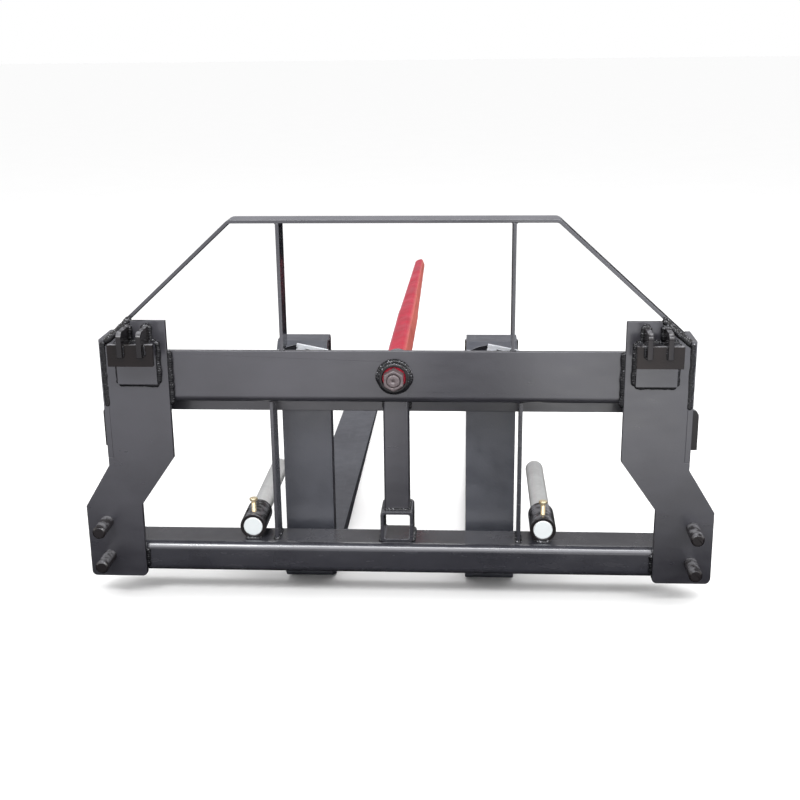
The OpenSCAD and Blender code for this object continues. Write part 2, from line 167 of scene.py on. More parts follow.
def enamel(name, dark, light, gloss, grit=1.0, shine=0.8, dusty=0.25, wear_and_top_highlight=0.0,
           cut_axis=None):
    """Sprayed enamel: cloudy tone, orange peel, uneven gloss, and a little dust on what faces up. Where
    asked, a painted highlight lightens what faces up in blotches.
    """
    s = Shader(name)
    cloud = s.noise(7, 4)
    tone = s.mix(s.between(cloud, 0.35, 0.65, 0, 1), dark, light)
    up = s.between(s.facing("Z"), 0.5, 0.95, 0, 1)
    dust = s.math("MULTIPLY", up, s.between(s.noise(60, 8), 0.48, 0.72, 0, dusty))
    tone = s.mix(dust, tone, (0.16, 0.15, 0.14))
    specks = s.between(s.spots(240), 0.0, 0.09, 1, 0)
    rare = s.between(s.noise(30, 2), 0.62, 0.7, 0, 0.5)
    tone = s.mix(s.math("MULTIPLY", specks, rare), tone, (0.2, 0.2, 0.2))
    streak = s.noise(1, 5, s.mapped((14, 14, 55)))
    uneven = s.between(streak, 0.3, 0.7, gloss - 0.07, gloss + 0.09)
    rough = s.math("ADD", uneven, s.math("MULTIPLY", dust, 0.5))
    # Painted highlight: what faces up is lightened in blotches, standing in for glints along the top edges.
    if wear_and_top_highlight:
        lit_upward = s.between(s.facing("Z"), 0.3, 0.75, 0, 1)
        painted_top_highlight = s.math("MULTIPLY", lit_upward, s.between(s.noise(75, 3), 0.4, 0.6, 0, wear_and_top_highlight))
        tone = s.mix(painted_top_highlight, tone, (0.3, 0.3, 0.32))
    s.set(Base_Color=tone, Roughness=rough, Specular_IOR_Level=shine, Coat_Weight=0.6 * shine)
    s.set(Coat_Roughness=0.12)
    s.bump(s.noise(420, 2), 0.18 * grit, 0.4 * MM)
    s.bump(s.noise(45, 4), 0.25 * grit, 1.2 * MM)
    if cut_axis:
        across = {"X": (40, 700, 700), "Y": (700, 40, 700)}[cut_axis]
        edge = s.between(s.math("ABSOLUTE", s.facing(cut_axis)), 0.1, 0.3, 1, 0)
        s.bump(s.math("MULTIPLY", edge, s.noise(1, 2, s.mapped(across))), 0.5, 0.6 * MM)
    return s.material


def weld_enamel():
    """Thick enamel over weld metal: black and glossy, with grain fine enough to break up its highlights,
    and painted glints as light specks on what faces up.
    """
    s = Shader("weld_enamel")
    tone = s.mix(s.noise(120, 3), (0.003, 0.003, 0.0035), (0.012, 0.012, 0.014))
    # Painted glints: light grey specks on what faces up, standing in for highlights.
    up = s.between(s.facing("Z"), -0.1, 0.6, 0, 1)
    painted_glints = s.math("MULTIPLY", up, s.between(s.noise(380, 2), 0.61, 0.66, 0, 0.9))
    s.set(Base_Color=s.mix(painted_glints, tone, (0.4, 0.4, 0.43)))
    s.set(Roughness=s.between(s.noise(200, 2), 0.3, 0.7, 0.06, 0.2), Specular_IOR_Level=0.22)
    s.set(Coat_Weight=0.15, Coat_Roughness=0.04)
    s.bump(s.noise(330, 3), 0.7, 0.9 * MM)
    s.bump(s.noise(900, 3), 0.5, 0.3 * MM)
    return s.material


def forged_enamel():
    """Slate enamel over a forged blade: pitted scale under the paint, scuffs on the upper face."""
    s = Shader("fork_enamel")
    cloud = s.between(s.noise(5, 5), 0.35, 0.65, 0, 1)
    tone = s.mix(cloud, (0.038, 0.04, 0.05), (0.052, 0.055, 0.067))
    up = s.between(s.facing("Z"), 0.6, 0.95, 0, 1)
    scuffs = s.between(s.noise(1, 6, s.mapped((260, 9, 260))), 0.63, 0.7, 0, 0.3)
    tone = s.mix(s.math("MULTIPLY", up, scuffs), tone, (0.12, 0.13, 0.14))
    s.set(Base_Color=tone, Roughness=s.between(s.noise(30, 5), 0.3, 0.7, 0.3, 0.5))
    s.set(Specular_IOR_Level=s.between(up, 0, 1, 0.9, 0.5), Coat_Weight=0.3, Coat_Roughness=0.2)
    pits = s.between(s.spots(170), 0.0, 0.35, 0, 1)
    s.bump(pits, 0.12, 0.6 * MM)
    s.bump(s.noise(28, 5), 0.35, 1.6 * MM)
    return s.material


def spear_enamel():
    """Bright red enamel over a forging, thin over the hammer scale, with a painted highlight in pink on the
    left flank and a painted reflection in salmon on the right.
    """
    s = Shader("spear_enamel")
    scale = s.noise(22, 6, distortion=0.4)
    tone = s.mix(s.between(scale, 0.35, 0.7, 0, 1), (0.33, 0.008, 0.024), (0.45, 0.016, 0.042))
    thin = s.between(s.noise(130, 6), 0.66, 0.74, 0, 0.6)
    tone = s.mix(thin, tone, (0.2, 0.015, 0.025))
    # Painted reflection and highlight: the flank facing right is mixed towards salmon, and the one facing
    # left towards pink.
    tone = s.mix(s.between(s.facing("X"), 0.35, 0.8, 0, 0.75), tone, (0.62, 0.17, 0.13))
    tone = s.mix(s.between(s.facing("X"), -0.35, -0.75, 0, 0.6), tone, (0.6, 0.16, 0.2))
    s.set(Base_Color=tone)
    s.set(Roughness=s.between(s.noise(18, 4), 0.3, 0.7, 0.3, 0.48), Specular_IOR_Level=0.25)
    s.set(Coat_Weight=0.05, Coat_Roughness=0.15)
    s.bump(s.noise(500, 2), 0.15, 0.4 * MM)
    s.bump(s.noise(36, 3), 0.12, 1.0 * MM)
    return s.material


def zinc_bar(name, centre, rough, tint):
    """Clear zinc on a turned bar: drawing lines along it, spangle, and facing rings on its ends."""
    s = Shader(name, metallic=0.85)
    lines = s.noise(1, 4, s.mapped((900, 6, 900)))
    spangle = s.between(s.spots(110), 0.0, 0.7, 0, 1)
    dull = s.between(s.noise(16, 5), 0.4, 0.7, 0, 1)
    bright = tuple(min(1, 1.16 * c) for c in tint)
    tone = s.mix(s.math("MULTIPLY", spangle, 0.5), bright, tint)
    tone = s.mix(s.math("MULTIPLY", dull, 0.5), tone, tuple(0.72 * c for c in tint))
    end = s.between(s.math("ABSOLUTE", s.facing("Y")), 0.8, 0.95, 0, 1)
    tone = s.mix(end, tone, (0.7, 0.74, 0.75))
    s.set(Base_Color=tone, Roughness=s.between(lines, 0.3, 0.7, rough - 0.08, rough + 0.1))
    s.set(Metallic=s.between(end, 0, 1, 0.85, 0.1))
    s.bump(lines, 0.15, 0.15 * MM)
    away_x = s.math("SUBTRACT", s.position("X"), centre.x)
    away_z = s.math("SUBTRACT", s.position("Z"), centre.z)
    square = s.math("ADD", s.math("MULTIPLY", away_x, away_x), s.math("MULTIPLY", away_z, away_z))
    rings = s.math("SINE", s.math("MULTIPLY", s.math("SQRT", square), 9000.0))
    s.bump(s.math("MULTIPLY", end, rings), 0.25, 0.12 * MM)
    return s.material


def plated(name, tint, other, rough, metallic=1.0):
    """Bright plating on a small part, with a drifting tint and handling marks."""
    s = Shader(name, metallic=metallic)
    tone = s.mix(s.between(s.noise(90, 3), 0.35, 0.65, 0, 1), tint, other)
    dull = s.between(s.noise(600, 4), 0.55, 0.7, 0, 0.5)
    s.set(Base_Color=s.mix(dull, tone, tuple(0.6 * c for c in other)))
    s.set(Roughness=s.between(s.noise(300, 3), 0.3, 0.7, rough - 0.08, rough + 0.12))
    s.bump(s.noise(1, 3, s.mapped((300, 1500, 1500))), 0.1, 0.1 * MM)
    return s.material


def primed_steel():
    """Turned steel under a thin brown-red primer, worn to bright metal in flecks."""
    s = Shader("nut_primer")
    tone = s.mix(s.between(s.noise(140, 5), 0.35, 0.65, 0, 1), (0.08, 0.062, 0.066), (0.125, 0.1, 0.104))
    wear_and_top_highlight = s.between(s.noise(420, 6), 0.6, 0.68, 0, 0.7)
    s.set(Base_Color=s.mix(wear_and_top_highlight, tone, (0.4, 0.33, 0.32)), Metallic=s.math("MULTIPLY", wear_and_top_highlight, 0.8))
    s.set(Roughness=s.between(s.noise(260, 3), 0.3, 0.7, 0.28, 0.5), Coat_Weight=0.2, Coat_Roughness=0.2)
    s.bump(s.noise(800, 3), 0.2, 0.2 * MM)
    return s.material


def make_materials():
    made = {
        "plate": enamel("plate_enamel", (0.021, 0.0205, 0.026), (0.031, 0.0305, 0.038), 0.34, cut_axis="Y"),
        "bar": enamel("bar_enamel", (0.025, 0.025, 0.031), (0.037, 0.037, 0.045), 0.22, dusty=0.06),
        # The small parts and the lip plate get a painted highlight on what faces up.
        "small": enamel(
            "small_part_enamel", (0.009, 0.008, 0.0085), (0.016, 0.0135, 0.0145), 0.16,
            grit=0.7, shine=0.25, dusty=0.1, wear_and_top_highlight=0.45),
        # Lip plate: a darker copy of the frame enamel, painted shade standing in for the dark ground it
        # reflects.
        "lip": enamel(
            "lip_enamel", (0.006, 0.004, 0.0035), (0.012, 0.008, 0.007), 0.2,
            grit=0.7, shine=0.2, dusty=0.1, wear_and_top_highlight=0.9),
        "weld": weld_enamel(),
        "fork": forged_enamel(),
        "spear": spear_enamel(),
        "nut": primed_steel(),
        "lever": plated("bright_zinc", (0.9, 0.92, 0.95), (0.8, 0.83, 0.88), 0.36, 0.35),
        "latch": plated("latch_zinc", (0.6, 0.6, 0.6), (0.5, 0.5, 0.52), 0.32),
        "bolt": plated("yellow_zinc", (0.86, 0.68, 0.42), (0.82, 0.74, 0.52), 0.34, 0.7),
        "spring": plated("spring_steel", (0.2, 0.2, 0.21), (0.27, 0.26, 0.25), 0.35),
    }
    for side in SIDES:
        rod = f"{side}_stabilizer_rod"
        middle = (low(rod) + high(rod)) / 2
        made[rod] = zinc_bar(f"{side}_zinc_bar", middle, 0.42, (0.7, 0.71, 0.7))
    return made


# ---- Mesh helpers ----

def piece(name, body, material, vertices, faces, smooth=True, replaces=()):
    mesh = bpy.data.meshes.new(name)
    mesh.from_pydata(vertices, [], faces)
    mesh.validate()
    for polygon in mesh.polygons:
        polygon.use_smooth = smooth
    mesh.materials.append(material)
    made = bpy.data.objects.new(name, mesh)
    bpy.context.scene.collection.objects.link(made)
    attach(made, body)
    if replaces:
        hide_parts(*replaces)
    return made


def axes_across(direction):
    """Two unit vectors square to a direction and to each other."""
    side = direction.cross(UP) if abs(direction.z) < 0.9 else direction.cross(Vector((1, 0, 0)))
    side.normalize()
    return side, side.cross(direction).normalized()


def turned(base, direction, profile, steps=48, shape=None, loop=False):
    """Vertices and faces of a round solid along direction. profile holds (distance, radius).

    shape(angle, distance, radius) gives the true radius. A loop is a ring with a hole through it."""
    side, up = axes_across(direction)
    vertices = []
    for distance, radius in profile:
        for i in range(steps):
            angle = 2 * math.pi * i / steps
            r = shape(angle, distance, radius) if shape else radius
            out = math.cos(angle) * side + math.sin(angle) * up
            vertices.append(base + direction * distance + r * out)
    rows = len(profile)
    faces = []
    for j in range(rows if loop else rows - 1):
        k = (j + 1) % rows
        for i in range(steps):
            n = (i + 1) % steps
            faces.append((j * steps + i, j * steps + n, k * steps + n, k * steps + i))
    if not loop:
        for row, flip in ((0, True), (rows - 1, False)):
            centre = len(vertices)
            vertices.append(base + direction * profile[row][0])
            for i in range(steps):
                n = (i + 1) % steps
                a, b = (n, i) if flip else (i, n)
                faces.append((row * steps + a, row * steps + b, centre))
    return vertices, faces


def hexagon(flat_radius, chamfer_radius):
    """Radius of a hexagon with chamfered corners, for turned()."""
    def radius(angle, distance, limit):
        sixth = (angle + math.pi / 6) % (math.pi / 3) - math.pi / 6
        return min(flat_radius / math.cos(sixth), limit) if limit <= chamfer_radius else limit
    return radius


def thread(pitch, depth, start, end):
    """Radius of a helical thread between two distances, for turned()."""
    def radius(angle, distance, base_radius):
        if not start <= distance <= end:
            return base_radius
        wave = (distance / pitch - angle / (2 * math.pi)) % 1
        return base_radius - depth * abs(2 * wave - 1)
    return radius


def spaced(start, end, step):
    count = max(1, math.ceil((end - start) / step))
    return [start + (end - start) * i / count for i in range(count + 1)]


# ---- Weld beads ----

BEAD_STEP = 1.1 * MM
BEAD_SIDES = 12
RIPPLE = 4.6 * MM


def resampled(points, step):
    """Points along a polyline at an even step."""
    result = [points[0].copy()]
    for a, b in zip(points, points[1:]):
        count = max(1, round((b - a).length / step))
        result += [a.lerp(b, i / count) for i in range(1, count + 1)]
    return result


def bead(points, radius, facing, seed, closed=False, flat=0.8):
    """Vertices and faces of one lumpy, rippled weld bead along points, with its crown towards facing."""
    path = resampled(points, BEAD_STEP)
    if closed:
        path = path[:-1]
    count = len(path)
    vertices = []
    shift = Vector((seed * 1.7, seed * 0.9, seed * 2.3))
    for i, p in enumerate(path):
        before = path[i - 1] if closed or i > 0 else p
        after = path[(i + 1) % count] if closed or i < count - 1 else p
        along = (after - before).normalized()
        crown = facing(p) if callable(facing) else facing
        crown = (crown - crown.dot(along) * along).normalized()
        across = along.cross(crown)
        distance = i * BEAD_STEP
        wander = noise.noise(p * 60 + shift)
        swell = 1 + 0.16 * noise.noise(p * 110 - shift)
        end = min(i, count - 1 - i) * BEAD_STEP
        taper = 1.0 if closed else math.sqrt(max(0.02, 1 - (1 - min(1, end / radius)) ** 2))
        centre = p + across * wander * 0.28 * radius
        for k in range(BEAD_SIDES):
            angle = 2 * math.pi * k / BEAD_SIDES
            lag = 0.45 * (1 - math.cos(angle))
            wave = (distance / RIPPLE - lag) % 1
            ripple = 1 + 0.13 * (1 - (2 * wave - 1) ** 2)
            r = radius * swell * taper * ripple
            vertices.append(centre + r * (flat * math.cos(angle) * crown + math.sin(angle) * across))
    faces = []
    for j in range(count if closed else count - 1):
        m = (j + 1) % count
        for k in range(BEAD_SIDES):
            n = (k + 1) % BEAD_SIDES
            a, b = j * BEAD_SIDES, m * BEAD_SIDES
            faces.append((a + k, a + n, b + n, b + k))
    if not closed:
        faces.append(tuple(reversed(range(BEAD_SIDES))))
        faces.append(tuple(range((count - 1) * BEAD_SIDES, count * BEAD_SIDES)))
    return vertices, faces


class Welds:
    """Weld beads gathered into one piece."""

    def __init__(self, name, body="frame", slot="frame_paint"):
        self.name, self.body, self.slot = name, body, slot
        self.vertices, self.faces = [], []
        self.seed = sum(map(ord, name)) % 97

    def run(self, points, width, facing, closed=False, flat=0.8):
        self.seed += 1
        vertices, faces = bead(points, width * MM / 2, facing, self.seed, closed, flat)
        start = len(self.vertices)
        self.vertices += vertices
        self.faces += [tuple(start + v for v in face) for face in faces]

    def made(self, material):
        return piece(self.name, self.body, material, self.vertices, self.faces)


def line(*points):
    """Points given as (x, y forward of the beam's rear face, z), in millimetres."""
    return [Vector((x * MM, REAR + y * MM, z * MM)) for x, y, z in points]


def mm(node):
    """A node's box in millimetres, with y counted from the beam's rear face."""
    a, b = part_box(node)
    shift = Vector((0, REAR, 0))
    return (a - shift) / MM, (b - shift) / MM


def box_of_right(node):
    """The box of a right-hand node, in millimetres."""
    return mm(f"right_{node}")


def box_outward(side, node):
    """The box of a node on one side, in millimetres, with x counted outwards from the middle."""
    a, b = mm(f"{side}_{node}")
    if side == "left":
        a.x, b.x = -b.x, -a.x
    return a, b


def ring(x, y, z, radius, steps=60):
    turn = [2 * math.pi * i / steps for i in range(steps + 1)]
    return line(*[(x + radius * math.cos(a), y, z + radius * math.sin(a)) for a in turn])


# Where beads end that follow no box edge, in millimetres out from the middle and up from the floor
TUBE_BEAD_END = 598
LEG_SEAM_START, LEG_SEAM_END = (489, 573), (543, 525)
SIDE_PLATE_SEAM = 541.5
LIP_BEAD_FOOT = 515

# Stitches on the fork rails: distance between their starts, half length, and the middle one's shift
STITCH_PITCH = 158
STITCH_HALF = 30
STITCH_SHIFT = 45
BEAM_WALL = 9.5


def plate_welds(side, s, material):
    """Beads around one mount plate: to the beam, the lower tube, the side plate and the guard's leg."""
    w = Welds(f"{side}_plate_welds")
    out = Vector((s * 1.0, 0, 0))
    beam_low, beam_high = mm("upper_beam")
    tube_low, tube_high = mm("lower_tube")
    plate_low, plate_high = box_of_right("mount_plate")
    side_low, side_high = box_of_right("side_plate")
    rail_low = mm("upper_fork_rail")[0]
    inner, foot = plate_low.x, plate_high.x - 110
    w.run(line((s * (inner - 2), -3, beam_low.z - 4), (s * (inner - 2), -4, beam_high.z + 1)), 11, BACK)
    w.run(line((s * (foot - 2), -2, tube_low.z + 12), (s * (foot - 2), -2, tube_high.z - 12)), 9.5, BACK)
    level = tube_high.z - 9
    w.run(line((s * foot, 3, level), (s * TUBE_BEAD_END, 3, level)), 8, UP - BACK)
    seam = side_low.x + 3
    w.run(line((s * seam, -10, rail_low.z + 31), (s * seam, -10, side_high.z - 4)), 9, BACK, flat=0.35)
    (x0, z0), (x1, z1) = LEG_SEAM_START, LEG_SEAM_END
    w.run(line((s * x0, -6, z0), (s * x1, -6, z1)), 14, BACK + UP)
    x, z = s * SIDE_PLATE_SEAM, side_high.z - 3
    w.run(line((x, 2, z), (x, 48, z)), 6, UP - out)
    x = s * (side_low.x - 1)
    w.run(line((x, 70, rail_low.z + 2), (x, 70, beam_low.z)), 8, BACK - out)
    lug_low, lug_high = box_of_right("side_lug")
    for y, facing in ((lug_low.y, BACK), (lug_high.y, -BACK)):
        x = s * side_high.x
        w.run(line((x, y, lug_low.z + 4), (x, y, lug_high.z - 4)), 6.5, facing + out)
    w.made(material)


def hook_welds(side, s, material):
    """Beads around one hook pad, its two ears and the lip plate on them."""
    w = Welds(f"{side}_hook_welds")
    pad_low, pad_high = box_of_right("hook_pad")
    lip_low, lip_high = box_of_right("hook_lip")
    y = pad_high.y - 1.5
    inner, outer, foot, top = pad_low.x - 1.5, pad_high.x + 0.5, pad_low.z - 1, pad_high.z
    w.run(line((s * inner, y, top + 1), (s * inner, y, foot)), 12, BACK)
    w.run(line((s * inner, y, foot), (s * outer, y, foot)), 10.5, BACK)
    w.run(line((s * outer, y, foot), (s * outer, y, top)), 9.5, BACK)
    w.run(line((s * inner, y - 1, top + 1), (s * outer, y - 1, top + 1)), 8, BACK + UP)
    for ear in ("inner_hook_ear", "outer_hook_ear"):
        ear_low, ear_high = box_of_right(ear)
        crest = ear_high.z
        for x in (ear_low.x - 0.5, ear_high.x + 0.5):
            w.run(line((s * x, y - 2, top), (s * x, y, crest + 1)), 9.5, BACK)
            w.run(line((s * x, pad_low.y - 1, ear_low.z + 1), (s * x, pad_low.y - 1, top)), 5, BACK)
        w.run(line((s * (ear_low.x - 2), y, crest), (s * (ear_high.x + 2), y, crest)), 9, BACK + UP)
        for x in (ear_low.x, ear_high.x):
            w.run(line((s * x, lip_low.y, ear_low.z - 1), (s * x, lip_low.y, lip_high.z - 1)), 3.6, BACK)
        w.run(line((s * ear_low.x, lip_low.y, ear_low.z), (s * ear_high.x, lip_low.y, ear_low.z)), 4, BACK)
    x = s * (box_of_right("inner_hook_ear")[0].x - 3)
    w.run(line((x, lip_low.y, lip_high.z), (x, lip_low.y, LIP_BEAD_FOOT)), 5.5, BACK)
    w.made(material)


def bar_welds(side, s, material):
    """Beads at both ends of one brace bar and one guard upright."""
    w = Welds(f"{side}_bar_welds")
    out = Vector((s * 1.0, 0, 0))
    a, b = box_of_right("brace_bar")
    for z, vertical in ((a.z + 0.5, UP), (b.z - 0.5, -UP)):
        w.run(line((s * b.x, a.y, z), (s * b.x, b.y, z)), 7.5, vertical + out)
        w.run(line((s * a.x, a.y, z), (s * a.x, b.y, z)), 7.5, vertical - out)
        w.run(line((s * (a.x - 2), a.y, z), (s * (b.x + 2), a.y, z)), 8, vertical + BACK)
    a, b = box_outward(side, "guard_upright")
    beam_wall = 9
    for x, facing in ((a.x, -out), (b.x, out)):
        w.run(line((s * x, 0.5, a.z), (s * x, beam_wall, a.z)), 6, UP + facing)
        w.run(line((s * x, a.y + 3, b.z), (s * x, b.y - 3, b.z)), 5.5, facing - UP)
    w.made(material)


def collar_welds(side, s, material):
    """The saddle beads that hold one stabilizer collar on the lower tube."""
    w = Welds(f"{side}_collar_welds")
    out = Vector((s * 1.0, 0, 0))
    a, b = box_of_right("stabilizer_collar")
    middle = (a.x + b.x) / 2
    tube_front = mm("lower_tube")[1].y - 16
    for x, facing in ((middle - 12, -out), (middle + 12, out)):
        w.run(line((s * x, a.y + 1, a.z + 1), (s * x, tube_front, a.z + 1)), 11, UP + facing)
    arc = [(middle + 14 * t, a.y - 1.5 - abs(t), a.z + 1 + 1.5 * t * t) for t in (-1, -0.5, 0, 0.5, 1)]
    w.run(line(*[(s * x, y, z) for x, y, z in arc]), 7.5, BACK + UP)
    w.made(material)


def centre_welds(material):
    """Beads on the spear bushing, the centre post and the receiver tube."""
    w = Welds("centre_welds")
    a, b = mm("spear_bushing")
    middle = (a.z + b.z) / 2
    radius = (b.x - a.x) / 2
    w.run(ring(0, -1.5, middle, radius + 1.5), 11, BACK, closed=True)
    w.run(ring(0, a.y + 3.5, middle, radius - 1), 7.5, BACK, closed=True, flat=0.7)
    a, b = mm("centre_post")
    for s in (LEFT, RIGHT):
        out = Vector((s * 1.0, 0, 0))
        w.run(line((s * b.x, a.y, b.z), (s * b.x, b.y, b.z - 1)), 9, out - UP)
        w.run(line((s * (b.x + 1), b.y - 1, b.z - 1), (s * (b.x + 1), b.y - 1, b.z - 32)), 7, out + BACK)
        w.run(line((s * b.x, a.y + 2, a.z), (s * b.x, b.y, a.z)), 6, out + UP)
    w.run(line((a.x, a.y, b.z - 1), (b.x, a.y, b.z - 1)), 8, BACK - UP)
    w.run(line((a.x + 2, a.y, a.z), (b.x - 2, a.y, a.z)), 6, BACK + UP)
    a, b = mm("receiver_tube")
    for s in (LEFT, RIGHT):
        out = Vector((s * 1.0, 0, 0))
        w.run(line((s * b.x, a.y + 1, a.z + 2), (s * b.x, b.y - 1, a.z + 2)), 9, out + UP)
    w.made(material)


def stitch_welds(material):
    """Short stitches that hold the fork rails: inside the beam's trough and on the lower tube's front."""
    w = Welds("rail_welds")
    floor = mm("upper_beam")[0].z + BEAM_WALL
    rail_back = mm("upper_fork_rail")[0].y
    bar_low, bar_high = mm("lower_fork_rail")
    for i in range(-3, 4):
        x = i * STITCH_PITCH + (STITCH_SHIFT if i == 0 else 0)
        w.run(line((x, rail_back, floor), (x + 2 * STITCH_HALF, rail_back, floor)), 9, BACK + UP)
        y, z = bar_low.y + 1, bar_high.z
        w.run(line((x - STITCH_HALF, y, z), (x + STITCH_HALF, y, z)), 8, UP - BACK)
    w.made(material)


def fork_welds(side, material):
    """Beads between one fork's shank and its two hooks."""
    w = Welds(f"{side}_fork_welds", f"{side}_fork", "fork_paint")
    out = Vector((1.0, 0, 0))
    for node, face in ((f"{side}_fork_top_hook", UP), (f"{side}_fork_bottom_hook", -UP)):
        a, b = mm(node)
        level = b.z if face == UP else a.z
        if face != UP:
            w.run(line((a.x + 3, b.y, level), (b.x - 3, b.y, level)), 8, face)
        deep = -12 if face == UP else 10
        for x, facing in ((a.x, -out), (b.x, out)):
            w.run(line((x, b.y, level + 0.1 * deep), (x, b.y, level + 3 * deep)), 6.5, facing)
    w.made(material)


# ---- Pieces that replace plain CAD nodes ----

# How far the spear's square section is turned about its length
SPEAR_TURN = math.radians(20)


def make_spear(material, nut_material):
    """The spear: a threaded end with a centre hole, a turned seat and a forged square taper."""
    a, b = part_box("bale_spear")
    seat_start = REAR + 4.3 * MM
    seat_radius = (b.z - a.z) / 2
    base = Vector((0, a.y, (a.z + b.z) / 2))
    length = b.y - a.y
    thread_radius = 12 * MM
    thread_end = seat_start - a.y
    square_start = high("spear_bushing").y - a.y
    profile = [(5 * MM, 0.3 * MM), (3.2 * MM, 1.9 * MM), (0, 3.1 * MM)]
    profile += [(0, 10.6 * MM), (1.2 * MM, thread_radius)]
    profile += [(d, thread_radius) for d in spaced(1.6 * MM, thread_end, 0.38 * MM)]
    ridge = thread(3 * MM, 1.5 * MM, 2 * MM, thread_end - 1 * MM)
    vertices, faces = turned(base, Vector((0, 1, 0)), profile, 72, ridge)
    piece("spear_thread", "spear", nut_material, vertices, faces)
    profile = [(thread_end, thread_radius - 1 * MM), (thread_end, seat_radius - 1 * MM)]
    profile += [(thread_end + 1 * MM, seat_radius), (square_start, seat_radius)]
    vertices, faces = turned(base, Vector((0, 1, 0)), profile, 72)
    piece("spear_seat", "spear", material, vertices, faces)

    sides = [(square_start - 1 * MM, 1.0), (square_start + 25 * MM, 0.9), (0.448 * length, 0.85)]
    sides += [(0.465 * length, 0.8), (0.957 * length, 0.5), (0.985 * length, 0.3), (length, 0.09)]

    def half_width(distance):
        for (d0, w0), (d1, w1) in zip(sides, sides[1:]):
            if distance <= d1:
                return seat_radius * (w0 + (w1 - w0) * (distance - d0) / (d1 - d0))
        return seat_radius * sides[-1][1]

    def square(angle, distance, radius):
        blend = min(1, max(0, (distance - square_start) / (30 * MM)))
        power = 2 + 5 * blend
        turn = angle - SPEAR_TURN
        round_factor = (abs(math.cos(turn)) ** power + abs(math.sin(turn)) ** power) ** (-1 / power)
        point = Vector((math.cos(angle) * 0.05, distance, math.sin(angle) * 0.05))
        return radius * min(round_factor, 1.16) + 0.35 * MM * blend * noise.noise(point * 25)

    stations = spaced(square_start - 1 * MM, length, 5 * MM)
    profile = [(d, half_width(d)) for d in stations] + [(length, half_width(length) * 0.5)]
    vertices, faces = turned(base, Vector((0, 1, 0)), profile, 80, square)
    body = piece("spear_blade", "spear", material, vertices, faces)
    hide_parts("bale_spear")


def make_nut(material):
    a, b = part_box("spear_nut")
    middle = (a.z + b.z) / 2
    flat_radius = 18 * MM
    corner = flat_radius / math.cos(math.pi / 6)
    bore = 12.3 * MM
    height = b.y - a.y
    profile = [(0, bore + 1.6 * MM), (0, flat_radius * 0.95)]
    profile += [(1.3 * MM, corner * 0.995), (1.8 * MM, corner)]
    profile += [(height - 1.8 * MM, corner), (height - 1.3 * MM, corner * 0.995)]
    profile += [(height, flat_radius * 0.95)]
    profile += [(height, bore + 1.6 * MM), (height - 1.6 * MM, bore), (1.6 * MM, bore)]
    shape = hexagon(flat_radius, corner)

    def radius(angle, distance, limit):
        return shape(angle, distance, limit) if limit > bore + 2 * MM else limit

    vertices, faces = turned(Vector((0, a.y, middle)), Vector((0, 1, 0)), profile, 96, radius, loop=True)
    piece("chamfered_spear_nut", "nut", material, vertices, faces, replaces=["spear_nut"])


def make_bolt(side, material):
    """A set bolt with a real thread and a chamfered hexagon head."""
    node = f"{side}_set_bolt"
    a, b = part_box(node)
    centre = (a + b) / 2
    flat_radius = 7.15 * MM
    corner = flat_radius / math.cos(math.pi / 6)
    height = b.z - a.z
    head = height - 6.1 * MM
    shank = 4.75 * MM
    profile = [(0, shank - 1 * MM), (1 * MM, shank)]
    profile += [(d, shank) for d in spaced(1.1 * MM, head - 1.2 * MM, 0.25 * MM)] + [(head, shank)]
    profile += [(head, flat_radius * 0.98), (head + 0.5 * MM, corner), (height - 0.9 * MM, corner)]
    profile += [(height - 0.5 * MM, corner * 0.97), (height, flat_radius * 0.88)]
    ridge = thread(1.5 * MM, 0.75 * MM, 1.2 * MM, head - 2.5 * MM)
    hexed = hexagon(flat_radius, corner)

    def radius(angle, distance, limit):
        form = hexed if distance >= head and limit > shank else ridge
        return form(angle, distance, limit)

    vertices, faces = turned(Vector((centre.x, centre.y, a.z)), UP, profile, 48, radius)
    piece(f"{side}_threaded_bolt", f"{side}_bolt", material, vertices, faces, replaces=[node])


def make_spring(side, material):
    """The latch spring as a real coil, inside its bore."""
    node = f"{side}_latch_spring"
    a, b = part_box(node)
    centre = (a + b) / 2
    wire = 0.8 * MM
    coil = (b.x - a.x) / 2 - wire
    turns, steps, around = 5, 120, 8
    vertices = []
    for i in range(steps + 1):
        t = i / steps
        turn = 2 * math.pi * turns * t
        out = Vector((math.cos(turn), math.sin(turn), 0))
        p = Vector((centre.x, centre.y, a.z + wire + (b.z - a.z - 2 * wire) * t)) + out * coil
        for k in range(around):
            angle = 2 * math.pi * k / around
            vertices.append(p + wire * (math.cos(angle) * out + math.sin(angle) * UP))
    faces = []
    for i in range(steps):
        for k in range(around):
            a, b, n = i * around, (i + 1) * around, (k + 1) % around
            faces.append((a + k, a + n, b + n, b + k))
    faces += [tuple(range(around))[::-1], tuple(range(steps * around, (steps + 1) * around))]
    piece(f"{side}_spring_coil", f"{side}_latch", material, vertices, faces, replaces=[node])


# ---- CAD nodes that keep their shape ----

# Pieces with edges shorter than their rounding, which is held back so that no corner shoots out
SHORT_EDGED = ("_fork", "_side_lug", "_latch_lever")


def edge_finish(node, width):
    """Rounds a CAD node's edges as cutting, rolling and paint leave them."""
    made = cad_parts[node]
    merge = made.modifiers.new("merge", "WELD")
    merge.merge_threshold = 0.02 * MM
    bevel = made.modifiers.new("edges", "BEVEL")
    bevel.width = width * MM
    bevel.segments = 3
    bevel.limit_method = "ANGLE"
    bevel.angle_limit = math.radians(38)
    bevel.use_clamp_overlap = node.endswith(SHORT_EDGED)
    bevel.miter_outer = "MITER_ARC"
    shade = made.modifiers.new("shade", "WEIGHTED_NORMAL")
    shade.keep_sharp = False
    shade.weight = 80


def dress(node, material, width=None):
    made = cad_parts[node]
    made.data.materials.clear()
    made.data.materials.append(material)
    if width:
        edge_finish(node, width)


